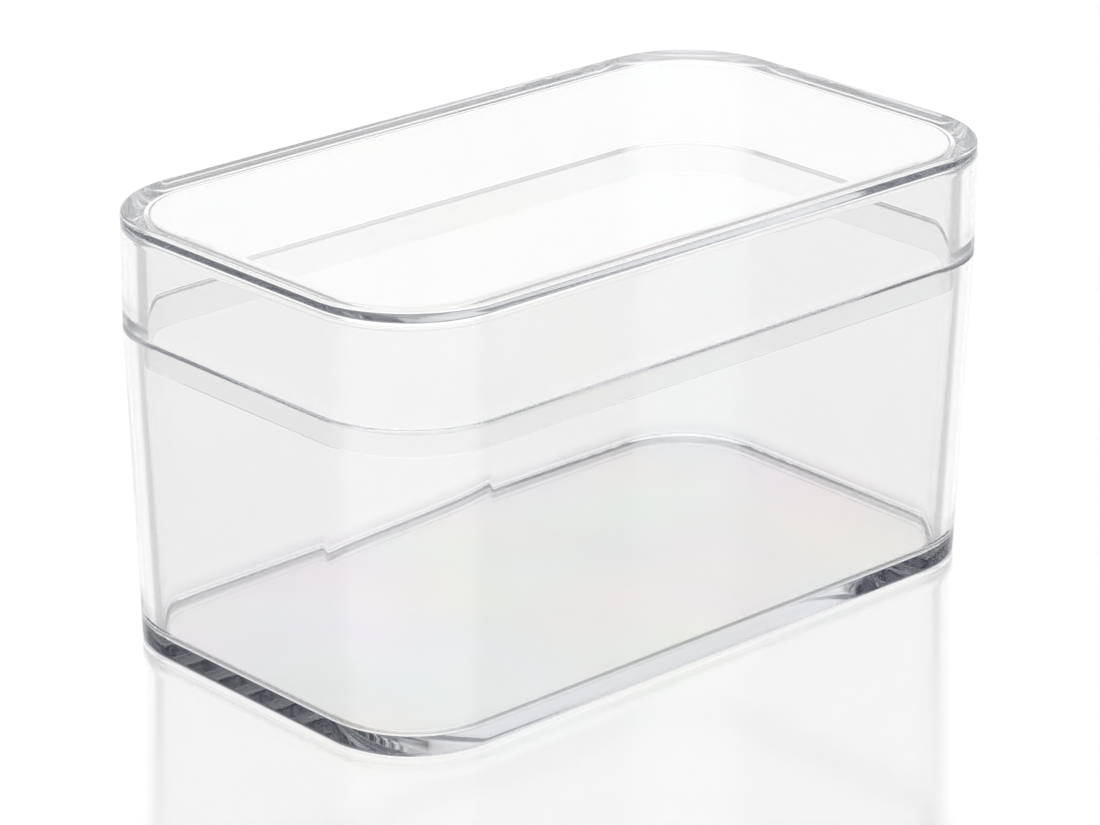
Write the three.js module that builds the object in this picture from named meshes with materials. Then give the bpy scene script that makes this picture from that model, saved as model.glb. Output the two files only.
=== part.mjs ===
// Clear storage container: a deep rounded box moulded in transparent plastic, with a lift-off lid whose
// thin plug lip drops inside the mouth of the box. Each moulding is one wall carried round a rounded
// rectangle, so it is drawn as the section through that wall and then swept round the outline.
// Units are millimetres and +Z is up. The origin is the middle of the underside.
import * as THREE from 'three';

// Outline of both mouldings at the seam, where the container is widest
const LENGTH = 174;
const WIDTH = 100;
const CORNER_RADIUS = 24;

// Base
const BASE_HEIGHT = 69.4;
const BASE_DRAFT_DEG = 1.7;
const RIM_WALL = 2.9;
const FOOT_WALL = 3.6;
const FLOOR = 3.4;
const FOOT_EDGE_RADIUS = 1;
const FLOOR_FILLET = 2;
const RIM_EDGE_RADIUS = 0.4;

// Lid
const LID_HEIGHT = 23.9;
const LID_DRAFT_DEG = 0.5;
const TOP_PANEL = 4;
const TOP_EDGE_RADIUS = 0.8;
const PANEL_FILLET = 1;
const LEDGE_EDGE_RADIUS = 0.3;

// Plug lip under the lid's ledge
const LIP_DEPTH = 6.5;
const LIP_WALL = 1.05;
const LIP_CLEARANCE = 0.2;
const LIP_EDGE_RADIUS = 0.3;

// Facets
const CORNER_STEPS = 12;
const LARGE_ARC_STEPS = 5;
const SMALL_ARC_STEPS = 3;

// Directions in a wall section, which is drawn in (inset, height): inset runs inwards from the seam outline
const QUARTER = Math.PI / 2;
const IN = 0;
const UP = QUARTER;
const OUT = 2 * QUARTER;
const DOWN = 3 * QUARTER;

function slope( degrees ) {

	return Math.tan( THREE.MathUtils.degToRad( degrees ) );

}

// Points of a quarter turn about a centre, the short way from one direction to the next
function quarterArc( x, y, radius, from, to, steps ) {

	const clockwise = THREE.MathUtils.euclideanModulo( to - from, 4 * QUARTER ) > 2 * QUARTER;
	return new THREE.EllipseCurve( x, y, radius, radius, from, to, clockwise ).getPoints( steps );

}

// The rounded rectangle that lies a given inset inside the seam outline, at one height.
// Every outline is concentric with the seam, so a wall keeps its thickness round the corners.
function outline( inset, height ) {

	const x = LENGTH / 2 - CORNER_RADIUS;
	const y = WIDTH / 2 - CORNER_RADIUS;
	const radius = CORNER_RADIUS - inset;
	const corners = [
		quarterArc( x, y, radius, IN, UP, CORNER_STEPS ),
		quarterArc( - x, y, radius, UP, OUT, CORNER_STEPS ),
		quarterArc( - x, - y, radius, OUT, DOWN, CORNER_STEPS ),
		quarterArc( x, - y, radius, DOWN, IN, CORNER_STEPS ),
	];
	return corners.flat().map( ( p ) => new THREE.Vector3( p.x, p.y, height ) );

}

// Sweeps a wall section round the outline and closes its first and last rings with flat faces.
// The section starts at the flat face outside, passes over the outer wall, the mouth and the inner wall,
// and ends at the flat face inside. A cup that opens downwards is swept with its faces turned over.
function sweepWall( section, opensDownwards ) {

	const rings = section.map( ( p ) => outline( p.x, p.y ) );
	const count = rings[ 0 ].length;
	const index = [];
	const triangle = ( a, b, c ) => index.push( ...( opensDownwards ? [ a, c, b ] : [ a, b, c ] ) );
	for ( let level = 0; level < rings.length - 1; level ++ ) {

		const ring = level * count;
		const nextRing = ring + count;
		for ( let i = 0; i < count; i ++ ) {

			const next = ( i + 1 ) % count;
			triangle( ring + i, ring + next, nextRing + next );
			triangle( ring + i, nextRing + next, nextRing + i );

		}

	}

	const last = ( rings.length - 1 ) * count;
	for ( let i = 1; i < count - 1; i ++ ) {

		triangle( 0, i + 1, i );
		triangle( last, last + i, last + i + 1 );

	}

	return new THREE.BufferGeometry().setFromPoints( rings.flat() ).setIndex( index );

}

// The base's outer wall leans in towards the foot
function baseOuterInset( height ) {

	return ( BASE_HEIGHT - height ) * slope( BASE_DRAFT_DEG );

}

// Its inner wall leans in a little more, so the wall thickens evenly from the rim to the foot
function baseInnerInset( height ) {

	const wall = THREE.MathUtils.lerp( FOOT_WALL, RIM_WALL, height / BASE_HEIGHT );
	return baseOuterInset( height ) + wall;

}

// The lid's outer wall leans in towards the top
function lidOuterInset( height ) {

	return ( height - BASE_HEIGHT ) * slope( LID_DRAFT_DEG );

}

// Its inner wall is upright and runs straight on down the inside of the plug lip
function lidInnerInset() {

	return baseInnerInset( BASE_HEIGHT - LIP_DEPTH ) + LIP_CLEARANCE + LIP_WALL;

}

// Foot, outer wall, rim, inner wall and floor of the base
function baseSection() {

	const footInset = baseOuterInset( FOOT_EDGE_RADIUS ) + FOOT_EDGE_RADIUS;
	const rimEdge = BASE_HEIGHT - RIM_EDGE_RADIUS;
	const rimOuterInset = baseOuterInset( rimEdge ) + RIM_EDGE_RADIUS;
	const rimInnerInset = baseInnerInset( rimEdge ) - RIM_EDGE_RADIUS;
	const filletTop = FLOOR + FLOOR_FILLET;
	const filletInset = baseInnerInset( filletTop ) + FLOOR_FILLET;
	return [
		...quarterArc( footInset, FOOT_EDGE_RADIUS, FOOT_EDGE_RADIUS, DOWN, OUT, LARGE_ARC_STEPS ),
		...quarterArc( rimOuterInset, rimEdge, RIM_EDGE_RADIUS, OUT, UP, SMALL_ARC_STEPS ),
		...quarterArc( rimInnerInset, rimEdge, RIM_EDGE_RADIUS, UP, IN, SMALL_ARC_STEPS ),
		...quarterArc( filletInset, filletTop, FLOOR_FILLET, OUT, DOWN, LARGE_ARC_STEPS ),
	];

}

// Top, outer wall, ledge, plug lip, inner wall and underside of the top panel of the lid
function lidSection() {

	const top = BASE_HEIGHT + LID_HEIGHT;
	const topEdge = top - TOP_EDGE_RADIUS;
	const topInset = lidOuterInset( topEdge ) + TOP_EDGE_RADIUS;
	const ledgeEdge = BASE_HEIGHT + LEDGE_EDGE_RADIUS;
	const ledgeInset = lidOuterInset( ledgeEdge ) + LEDGE_EDGE_RADIUS;
	const lipRoot = new THREE.Vector2( baseInnerInset( BASE_HEIGHT ) + LIP_CLEARANCE, BASE_HEIGHT );
	const lipEdge = BASE_HEIGHT - LIP_DEPTH + LIP_EDGE_RADIUS;
	const lipOuterInset = baseInnerInset( lipEdge ) + LIP_CLEARANCE + LIP_EDGE_RADIUS;
	const lipInnerInset = lidInnerInset() - LIP_EDGE_RADIUS;
	const filletFoot = top - TOP_PANEL - PANEL_FILLET;
	const filletInset = lidInnerInset() + PANEL_FILLET;
	return [
		...quarterArc( topInset, topEdge, TOP_EDGE_RADIUS, UP, OUT, LARGE_ARC_STEPS ),
		...quarterArc( ledgeInset, ledgeEdge, LEDGE_EDGE_RADIUS, OUT, DOWN, SMALL_ARC_STEPS ),
		lipRoot,
		...quarterArc( lipOuterInset, lipEdge, LIP_EDGE_RADIUS, OUT, DOWN, SMALL_ARC_STEPS ),
		...quarterArc( lipInnerInset, lipEdge, LIP_EDGE_RADIUS, DOWN, IN, SMALL_ARC_STEPS ),
		...quarterArc( filletInset, filletFoot, PANEL_FILLET, OUT, UP, LARGE_ARC_STEPS ),
	];

}

// Clear moulded plastic, nearly colourless and polished on both faces
function clearPlastic( color ) {

	return new THREE.MeshStandardMaterial( { color, roughness: 0.05, metalness: 0, transparent: true, opacity: 0.25 } );

}

const base = new THREE.Mesh( sweepWall( baseSection(), false ), clearPlastic( 0xeef0ef ) );
base.name = 'base';

const lid = new THREE.Mesh( sweepWall( lidSection(), true ), clearPlastic( 0xf1f2f2 ) );
lid.name = 'lid';

const container = new THREE.Group();
container.add( base, lid );

export default container;
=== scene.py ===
"""Clear storage container with a lift-off lid, on a plain white floor.

Both mouldings are modelled as a maker would section them: a flat face with rounded corners lies at the seam
and is inset step by step along the section of the wall, once for the outside and once for the inside. A flat
ring joins both at the mouth, so every wall, lip, fillet and edge radius follows the same rounded outline. The
looks come from true refraction in clear acrylic, so wall thicknesses and edge radii are real sizes.
"""

import math

import bmesh
import bpy
from mathutils import Matrix, Vector


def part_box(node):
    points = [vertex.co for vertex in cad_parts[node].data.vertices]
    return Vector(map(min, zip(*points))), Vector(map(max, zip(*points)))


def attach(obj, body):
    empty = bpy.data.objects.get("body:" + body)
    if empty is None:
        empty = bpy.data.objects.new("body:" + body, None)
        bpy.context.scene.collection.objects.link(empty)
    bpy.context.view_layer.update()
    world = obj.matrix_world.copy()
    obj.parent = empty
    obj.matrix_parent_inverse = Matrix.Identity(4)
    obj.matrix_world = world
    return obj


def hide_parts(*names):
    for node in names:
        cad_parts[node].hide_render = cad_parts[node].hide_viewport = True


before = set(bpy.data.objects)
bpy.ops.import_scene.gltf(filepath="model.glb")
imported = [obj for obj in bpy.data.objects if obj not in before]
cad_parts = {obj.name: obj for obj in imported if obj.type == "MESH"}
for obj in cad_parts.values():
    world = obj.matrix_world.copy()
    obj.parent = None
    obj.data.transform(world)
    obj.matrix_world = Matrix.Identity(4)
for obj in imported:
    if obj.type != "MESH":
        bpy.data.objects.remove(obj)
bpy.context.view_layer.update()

MM = 0.001

# Outline and heights in millimetres, from the frame
base_low, base_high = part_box("base")
lid_low, lid_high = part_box("lid")
LENGTH = (base_high.x - base_low.x) / MM
WIDTH = (base_high.y - base_low.y) / MM
RIM = base_high.z / MM
TOP = lid_high.z / MM
LIP_FOOT = lid_low.z / MM

# Wall sections, in millimetres and degrees
OUTER_CORNER = 23.8
INNER_CORNER = 24.4
CORNER_PROFILE = 0.507
BASE_DRAFT = 1.7
RIM_WALL = 2.9
FOOT_WALL = 3.6
FLOOR = 2.9
FOOT_EDGE = 1.2
FLOOR_FILLET = 3.0
RIM_EDGE = 0.9
LID_DRAFT = 0.5
LID_INNER_DRAFT = 0.25
TOP_PANEL = 3.5
TOP_EDGE = 1.1
PANEL_FILLET = 2.0
LEDGE_EDGE = 0.9
LIP_WALL = 1.05
LIP_CLEARANCE = 0.2
LIP_EDGE = 0.3
SEAM_GAP = 0.1

# Colours
WHITE = "#FFFFFF"
EDGE_COLOUR = "#8C94A6"

# Clear plastic: its refractive index, and the light that it takes up per millimetre
REFRACTION = 1.49
EDGE_DENSITY = 0.0028

# Finish of the mouldings: spacing and depth in millimetres, detail in octaves, the rest as shares of 1
STRESS_SPACING = 45
STRESS_DETAIL = 1
STRESS_TINT = 0.02
# Stronger tint in the floor: faint stress hues, and painted shade that greys the floor
FLOOR_TINT_AND_SHADE = 0.12
FLOW_SPACING = 32
FLOW_DETAIL = 0
FLOW_DEPTH = 0.012
SCUFF_SPACING = 1.6
SCUFF_DETAIL = 3
SCUFF_START = 0.62
SCUFF_FULL = 0.8
SCUFF_ROUGHNESS = 0.03

# Sockets that a Mix node uses for colours
MIX_FACTOR = 0
MIX_FIRST = 6
MIX_SECOND = 7
MIX_RESULT = 2

# Fineness of the mesh
CORNER_SEGMENTS = 64
ARC_STEPS = 12
MERGE = 0.001
FLAT = 0.99
UPRIGHT = 0.1
SMOOTH_ANGLE = math.radians(35)

# Camera: the photograph's view, fitted to the container's contours
IMAGE_WIDTH = 1100
FOCAL_PIXELS = 4415
SENSOR = 36
CAMERA_AZIMUTH = -42.91
CAMERA_ELEVATION = 21.45
CAMERA_ROLL = 0.23
CAMERA_DISTANCE = 924.6
CAMERA_AIM = (-1.25, 1.16, 39.64)
CAMERA_CLIP = 50

# Studio: sizes in millimetres, angles in degrees, light where 1 is white
SHEET_SIZE = 20000
SHEET_GAP = 0.1
SHEET_HAZE = 0.5
SHEET_MIRROR = 0.5
SHEET_POLISH = 0.12
BACKDROP_HALF_WIDTH = 45
BACKDROP_LIGHT = 1.07
OVERHEAD_EDGE = 45
OVERHEAD_LIGHT = 1.2
SIDE_HALF_WIDTH = 20
SIDE_LIGHT = 0.15
SWEEP_LIGHT = 0.6
ZONE_SOFTNESS = 0.12
LIGHT_BOUNCES = 200


def linear(hex_colour):
    """A colour written as sRGB hex, as the linear RGBA that a shader socket takes."""
    channels = [int(hex_colour[i:i + 2], 16) / 255 for i in (1, 3, 5)]
    return [c / 12.92 if c <= 0.04045 else ((c + 0.055) / 1.055) ** 2.4 for c in channels] + [1]


def add_node(tree, kind, settings=None, inputs=None, links=None):
    """Adds a shader node, sets its properties and sockets, and links sockets to other nodes' outputs."""
    node = tree.nodes.new(kind)
    for key, value in (settings or {}).items():
        setattr(node, key, value)
    for key, value in (inputs or {}).items():
        node.inputs[key].default_value = value
    for key, output in (links or {}).items():
        tree.links.new(output, node.inputs[key])
    return node


def new_material(name):
    material = bpy.data.materials.new(name)
    material.use_nodes = True
    material.node_tree.nodes.clear()
    return material, material.node_tree


# Wall sections, drawn in (inset, height): inset runs inwards from the seam outline
def slope(degrees):
    return math.tan(math.radians(degrees))


def base_outer(height):
    return (RIM - height) * slope(BASE_DRAFT)


def base_inner(height):
    return base_outer(height) + FOOT_WALL + (RIM_WALL - FOOT_WALL) * height / RIM


def lid_outer(height):
    return (height - RIM) * slope(LID_DRAFT)


def lid_inner(height):
    return base_inner(LIP_FOOT) + LIP_CLEARANCE + LIP_WALL + (height - LIP_FOOT) * slope(LID_INNER_DRAFT)


def arc(inset, height, radius, start, end):
    """Section points of a turn about (inset, height), from one angle to another in degrees."""
    points = []
    for step in range(ARC_STEPS + 1):
        angle = math.radians(start + (end - start) * step / ARC_STEPS)
        points.append((inset + radius * math.cos(angle), height + radius * math.sin(angle)))
    return points


def base_sections():
    """The outside from the rim down to the underside, and the inside from the rim down to the floor."""
    fillet = FLOOR + FLOOR_FILLET
    outside = [(base_outer(RIM), RIM)]
    outside += arc(base_outer(FOOT_EDGE) + FOOT_EDGE, FOOT_EDGE, FOOT_EDGE, 180, 270)
    inside = [(base_inner(RIM), RIM)]
    inside += arc(base_inner(fillet) + FLOOR_FILLET, fillet, FLOOR_FILLET, 180, 270)
    return outside, inside


def lid_sections():
    """The outside from the ledge up to the top, and the inside round the plug lip and up to the panel."""
    ledge = RIM + SEAM_GAP
    top_edge = TOP - TOP_EDGE
    lip_edge = LIP_FOOT + LIP_EDGE
    fillet = TOP - TOP_PANEL - PANEL_FILLET
    outside = [(lid_outer(ledge), ledge)]
    outside += arc(lid_outer(top_edge) + TOP_EDGE, top_edge, TOP_EDGE, 180, 90)
    inside = [(base_inner(RIM) + LIP_CLEARANCE, ledge)]
    inside += arc(base_inner(lip_edge) + LIP_CLEARANCE + LIP_EDGE, lip_edge, LIP_EDGE, 180, 270)
    inside += arc(lid_inner(lip_edge) - LIP_EDGE, lip_edge, LIP_EDGE, 270, 360)
    inside += arc(lid_inner(fillet) + PANEL_FILLET, fillet, PANEL_FILLET, 180, 90)
    return outside, inside


# Modelling
def model_shell(name, corner, section):
    """One open shell: a flat face with the rounded outline lies at the section's first point and is then
    inset from each section point to the next, leaving the wall behind it."""
    inset, height = section[0]
    bpy.ops.object.select_all(action="DESELECT")
    bpy.ops.mesh.primitive_plane_add(size=1)
    shell = bpy.context.object
    shell.name = shell.data.name = name
    bpy.ops.object.mode_set(mode="EDIT")
    bpy.ops.transform.resize(value=((LENGTH - 2 * inset) * MM, (WIDTH - 2 * inset) * MM, 1))
    bpy.ops.transform.translate(value=(0, 0, height * MM))
    bpy.ops.mesh.bevel(
        affect="VERTICES",
        offset=(corner - inset) * MM,
        segments=CORNER_SEGMENTS,
        profile=CORNER_PROFILE,
    )
    bpy.ops.mesh.select_all(action="SELECT")
    for next_inset, next_height in section[1:]:
        step_in = next_inset - inset
        step_up = next_height - height
        if math.hypot(step_in, step_up) > MERGE:
            bpy.ops.mesh.inset(thickness=step_in * MM, depth=step_up * MM)
            inset, height = next_inset, next_height
    bpy.ops.object.mode_set(mode="OBJECT")
    return shell


def select_mouth(piece):
    """Selects the two edge loops where the flat ring of a moulding's mouth meets its walls."""
    bpy.ops.mesh.select_all(action="DESELECT")
    mesh = bmesh.from_edit_mesh(piece.data)
    for edge in mesh.edges:
        facing = [abs(face.normal.z) for face in edge.link_faces]
        edge.select_set(max(facing) > FLAT and min(facing) < UPRIGHT)
    bmesh.update_edit_mesh(piece.data)


def model_moulding(name, sections, mouth_edge):
    """One closed moulding: an outer and an inner shell, bridged by a flat ring at their mouths."""
    outside, inside = sections
    inner = model_shell(name + "_inside", INNER_CORNER, inside)
    bpy.ops.object.mode_set(mode="EDIT")
    bpy.ops.mesh.select_all(action="SELECT")
    bpy.ops.mesh.flip_normals()
    bpy.ops.object.mode_set(mode="OBJECT")
    piece = model_shell(name, OUTER_CORNER, outside)
    inner.select_set(True)
    bpy.ops.object.join()
    bpy.ops.object.mode_set(mode="EDIT")
    bpy.ops.mesh.select_mode(type="EDGE")
    bpy.ops.mesh.select_all(action="DESELECT")
    bpy.ops.mesh.select_non_manifold()
    bpy.ops.mesh.bridge_edge_loops()
    select_mouth(piece)
    bpy.ops.mesh.bevel(affect="EDGES", offset=mouth_edge * MM, segments=ARC_STEPS)
    bpy.ops.mesh.select_all(action="SELECT")
    bpy.ops.mesh.normals_make_consistent(inside=False)
    bpy.ops.object.mode_set(mode="OBJECT")
    bpy.ops.object.shade_smooth_by_angle(angle=SMOOTH_ANGLE)
    even = piece.modifiers.new("even_shading", "WEIGHTED_NORMAL")
    even.keep_sharp = True
    bpy.ops.object.modifier_apply(modifier=even.name)
    return piece


def clear_acrylic(name):
    """Injection-moulded clear acrylic: polished and colourless through a wall, with strong refraction.
    Light that runs along inside a wall is slowly taken up, so edges turn to a cool charcoal. Stress from the
    mould gives broad, faint tints; in the floor a stronger tint also greys it as painted shade, standing in
    for the dimmer light seen through it. The flow of the melt gives a slight waviness, and handling a few
    faint scuffs."""
    material, tree = new_material(name)
    place = add_node(tree, "ShaderNodeTexCoord")
    tint_and_shade_noise = add_node(
        tree,
        "ShaderNodeTexNoise",
        inputs={"Scale": 1 / (STRESS_SPACING * MM), "Detail": STRESS_DETAIL},
        links={"Vector": place.outputs["Object"]},
    )
    height = add_node(tree, "ShaderNodeSeparateXYZ", links={"Vector": place.outputs["Object"]})
    # Painted shade: the tint grows to its floor strength from the top of the floor fillet down to the floor
    tint_and_floor_shade_gate = add_node(
        tree,
        "ShaderNodeMapRange",
        inputs={
            "From Min": FLOOR * MM,
            "From Max": (FLOOR + FLOOR_FILLET) * MM,
            "To Min": FLOOR_TINT_AND_SHADE,
            "To Max": STRESS_TINT,
        },
        links={"Value": height.outputs["Z"]},
    )
    tint = add_node(
        tree,
        "ShaderNodeMix",
        {"data_type": "RGBA"},
        {MIX_FIRST: linear(WHITE)},
        {MIX_FACTOR: tint_and_floor_shade_gate.outputs["Result"], MIX_SECOND: tint_and_shade_noise.outputs["Color"]},
    )
    flow = add_node(
        tree,
        "ShaderNodeTexNoise",
        inputs={"Scale": 1 / (FLOW_SPACING * MM), "Detail": FLOW_DETAIL},
        links={"Vector": place.outputs["Object"]},
    )
    waves = add_node(
        tree,
        "ShaderNodeBump",
        inputs={"Distance": FLOW_DEPTH * MM},
        links={"Height": flow.outputs["Fac"]},
    )
    specks = add_node(
        tree,
        "ShaderNodeTexNoise",
        inputs={"Scale": 1 / (SCUFF_SPACING * MM), "Detail": SCUFF_DETAIL},
        links={"Vector": place.outputs["Object"]},
    )
    scuffs = add_node(
        tree,
        "ShaderNodeMapRange",
        inputs={"From Min": SCUFF_START, "From Max": SCUFF_FULL, "To Min": 0.0, "To Max": SCUFF_ROUGHNESS},
        links={"Value": specks.outputs["Fac"]},
    )
    shader = add_node(
        tree,
        "ShaderNodeBsdfPrincipled",
        inputs={"IOR": REFRACTION, "Transmission Weight": 1.0},
        links={
            "Base Color": tint.outputs[MIX_RESULT],
            "Roughness": scuffs.outputs["Result"],
            "Normal": waves.outputs["Normal"],
        },
    )
    depth = add_node(
        tree,
        "ShaderNodeVolumeAbsorption",
        inputs={"Color": linear(EDGE_COLOUR), "Density": EDGE_DENSITY / MM},
    )
    add_node(
        tree,
        "ShaderNodeOutputMaterial",
        links={"Surface": shader.outputs["BSDF"], "Volume": depth.outputs["Volume"]},
    )
    return material


base = model_moulding("clear_base", base_sections(), RIM_EDGE)
lid = model_moulding("clear_lid", lid_sections(), LEDGE_EDGE)
base.data.materials.append(clear_acrylic("clear_acrylic_base"))
lid.data.materials.append(clear_acrylic("clear_acrylic_lid"))
for piece, body, slot in ((base, "base", "base_plastic"), (lid, "lid", "lid_plastic")):
    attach(piece, body)
    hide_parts(body)


# Directions seen from the camera, level with the floor
azimuth = math.radians(CAMERA_AZIMUTH)
AWAY = Vector((-math.sin(azimuth), math.cos(azimuth), 0))
RIGHT = Vector((math.cos(azimuth), math.sin(azimuth), 0))


# Floor and light
def white_floor():
    """Satin acrylic sheet over a lit white sweep: hazy white, with a mirror image close under what stands on
    it that blurs away from it."""
    material, tree = new_material("satin_acrylic_floor")
    clear = add_node(tree, "ShaderNodeBsdfTransparent")
    haze = add_node(tree, "ShaderNodeBsdfDiffuse", inputs={"Color": linear(WHITE)})
    gloss = add_node(
        tree, "ShaderNodeBsdfGlossy", inputs={"Color": linear(WHITE), "Roughness": SHEET_POLISH}
    )
    sheet = add_node(
        tree,
        "ShaderNodeMixShader",
        inputs={"Fac": SHEET_HAZE},
        links={1: clear.outputs["BSDF"], 2: haze.outputs["BSDF"]},
    )
    polished = add_node(
        tree,
        "ShaderNodeMixShader",
        inputs={"Fac": SHEET_MIRROR},
        links={1: sheet.outputs["Shader"], 2: gloss.outputs["BSDF"]},
    )
    add_node(tree, "ShaderNodeOutputMaterial", links={"Surface": polished.outputs["Shader"]})
    return material


def add_floor():
    bpy.ops.object.select_all(action="DESELECT")
    bpy.ops.mesh.primitive_plane_add(size=SHEET_SIZE * MM)
    sheet = bpy.context.object
    sheet.name = "studio_floor"
    bpy.ops.object.mode_set(mode="EDIT")
    bpy.ops.transform.translate(value=(0, 0, -SHEET_GAP * MM))
    bpy.ops.object.mode_set(mode="OBJECT")
    sheet.data.materials.append(white_floor())


add_floor()


def studio_world():
    """A white sweep behind and under the floor, a softbox overhead, a dimmer room on the camera's side, and
    dark flags at both sides that draw the edges of clear plastic."""
    world = bpy.data.worlds.new("studio")
    bpy.context.scene.world = world
    world.use_nodes = True
    tree = world.node_tree
    tree.nodes.clear()
    place = add_node(tree, "ShaderNodeTexCoord")
    direction = add_node(tree, "ShaderNodeSeparateXYZ", links={"Vector": place.outputs["Generated"]})
    level = add_node(
        tree,
        "ShaderNodeVectorMath",
        {"operation": "MULTIPLY"},
        {1: (1, 1, 0)},
        {0: place.outputs["Generated"]},
    )
    heading = add_node(
        tree, "ShaderNodeVectorMath", {"operation": "NORMALIZE"}, links={0: level.outputs["Vector"]}
    )
    behind = add_node(
        tree,
        "ShaderNodeVectorMath",
        {"operation": "DOT_PRODUCT"},
        {1: AWAY},
        {0: heading.outputs["Vector"]},
    )
    turned = add_node(tree, "ShaderNodeMath", {"operation": "ABSOLUTE"}, links={0: behind.outputs["Value"]})
    # Each zone is what it is measured by, where it starts, and its light before and beyond that
    zones = (
        (turned.outputs["Value"], math.sin(math.radians(SIDE_HALF_WIDTH)), SIDE_LIGHT, SWEEP_LIGHT),
        (behind.outputs["Value"], math.cos(math.radians(BACKDROP_HALF_WIDTH)), 0.0, BACKDROP_LIGHT),
        (direction.outputs["Z"], math.sin(math.radians(OVERHEAD_EDGE)), 0.0, OVERHEAD_LIGHT),
    )
    total = None
    for measure, edge, before, beyond in zones:
        zone = add_node(
            tree,
            "ShaderNodeMapRange",
            {"interpolation_type": "SMOOTHSTEP"},
            {
                "From Min": edge - ZONE_SOFTNESS,
                "From Max": edge + ZONE_SOFTNESS,
                "To Min": before,
                "To Max": beyond,
            },
            {"Value": measure},
        )
        lit = zone.outputs["Result"]
        if total is None:
            total = lit
        else:
            brighter = add_node(tree, "ShaderNodeMath", {"operation": "MAXIMUM"}, links={0: lit, 1: total})
            total = brighter.outputs["Value"]
    glow = add_node(
        tree, "ShaderNodeBackground", inputs={"Color": linear(WHITE)}, links={"Strength": total}
    )
    add_node(tree, "ShaderNodeOutputWorld", links={"Surface": glow.outputs["Background"]})


studio_world()


# Camera
def add_camera():
    elevation = math.radians(CAMERA_ELEVATION)
    roll = math.radians(CAMERA_ROLL)
    back = Vector((
        math.sin(azimuth) * math.cos(elevation),
        -math.cos(azimuth) * math.cos(elevation),
        math.sin(elevation),
    ))
    upright = back.cross(RIGHT)
    right = RIGHT * math.cos(roll) + upright * math.sin(roll)
    up = upright * math.cos(roll) - RIGHT * math.sin(roll)
    place = (Vector(CAMERA_AIM) + back * CAMERA_DISTANCE) * MM
    data = bpy.data.cameras.new("camera")
    data.sensor_width = SENSOR
    data.lens = FOCAL_PIXELS / IMAGE_WIDTH * SENSOR
    data.clip_start = CAMERA_CLIP * MM
    camera = bpy.data.objects.new("camera", data)
    bpy.context.scene.collection.objects.link(camera)
    camera.matrix_world = Matrix.Translation(place) @ Matrix((right, up, back)).transposed().to_4x4()
    bpy.context.scene.camera = camera


add_camera()

# Clear walls need long light paths: light runs many times round inside an edge before it leaves
scene = bpy.context.scene
scene.cycles.max_bounces = LIGHT_BOUNCES
scene.cycles.transmission_bounces = LIGHT_BOUNCES
scene.cycles.glossy_bounces = LIGHT_BOUNCES
scene.cycles.transparent_max_bounces = LIGHT_BOUNCES
scene.cycles.blur_glossy = 0
scene.view_settings.view_transform = "Standard"
